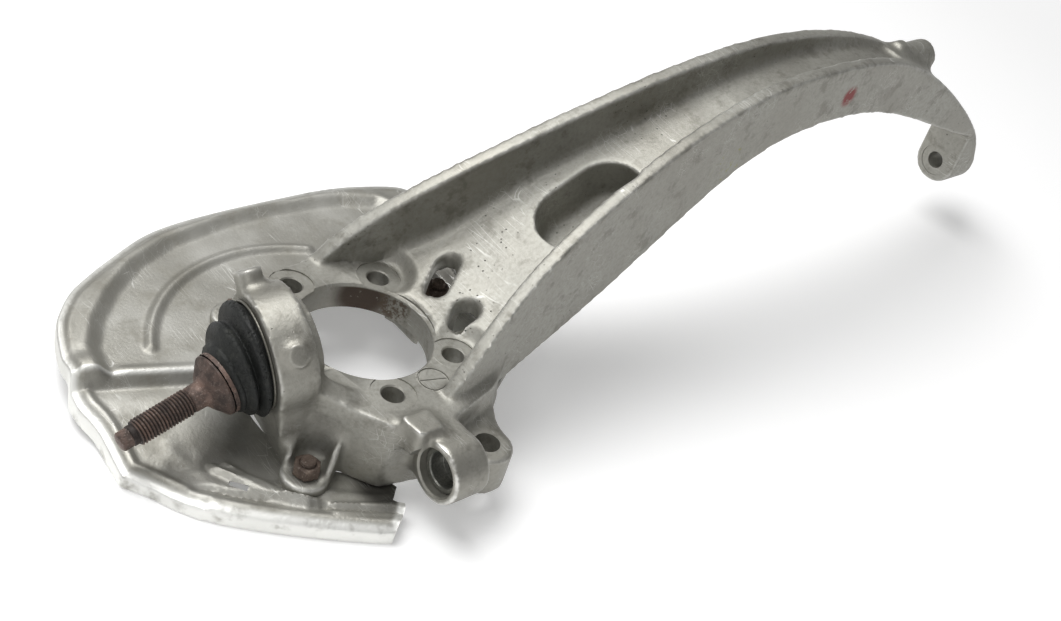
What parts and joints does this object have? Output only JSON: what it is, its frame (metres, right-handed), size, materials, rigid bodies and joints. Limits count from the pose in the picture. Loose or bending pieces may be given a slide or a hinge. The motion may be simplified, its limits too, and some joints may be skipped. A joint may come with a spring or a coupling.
{
  "type": "steering knuckle",
  "caption": "Cast steering knuckle with a tall curved neck, hub bore, tie-rod boss, sheet dust shield and a lower ball joint with a threaded stud under a rubber boot.",
  "frame": {"origin": "centre of the hub bore on the inboard face of the hub flange", "axes": "+Z along the hub axis, inboard, up in the picture. +X along the swan neck, which is up on a vehicle. -X towards the lower ball joint."},
  "size_m": [0.7049, 0.2533, 0.1765],
  "materials": {
    "cast_aluminium": "rough cast",
    "sheet_aluminium": "worn",
    "boot_rubber": "aged, cracked",
    "stud_steel": "light rust",
    "plated_steel": "dull",
    "sleeve_steel": "machined",
    "rusty_fastener": "rust",
    "seat_plastic": "moulded"
  },
  "bodies": {
    "root": {"knuckle": "cast_aluminium", "ball_seat": "seat_plastic", "housing_cover": "plated_steel", "cover_ring": "plated_steel", "boot": "boot_rubber", "boot_ring_large": "plated_steel", "dust_shield": "sheet_aluminium", "shield_bolt_front": "rusty_fastener", "shield_bolt_rear": "rusty_fastener", "shield_bolt_top": "rusty_fastener", "shield_nut_front": "rusty_fastener", "shield_nut_rear": "rusty_fastener", "shield_nut_top": "rusty_fastener", "tie_rod_sleeve": "sleeve_steel"},
    "collar": {"boot_ring_small": "stud_steel"},
    "stud": {"ball_stud": "stud_steel"}
  },
  "joints": [
    {"name": "stud_tilt", "type": "hinge", "parent": "root", "child": "collar", "pos_m": [-0.059, -0.001, 0.007], "axis": [-0.2678, -0.4026, 0.8753], "range_deg": [-33, 7], "deforming": ["boot"]},
    {"name": "stud_spin", "type": "hinge", "parent": "collar", "child": "stud", "pos_m": [-0.059, -0.001, 0.007], "axis": [-0.9502, -0.0398, -0.309], "continuous": true}
  ]
}
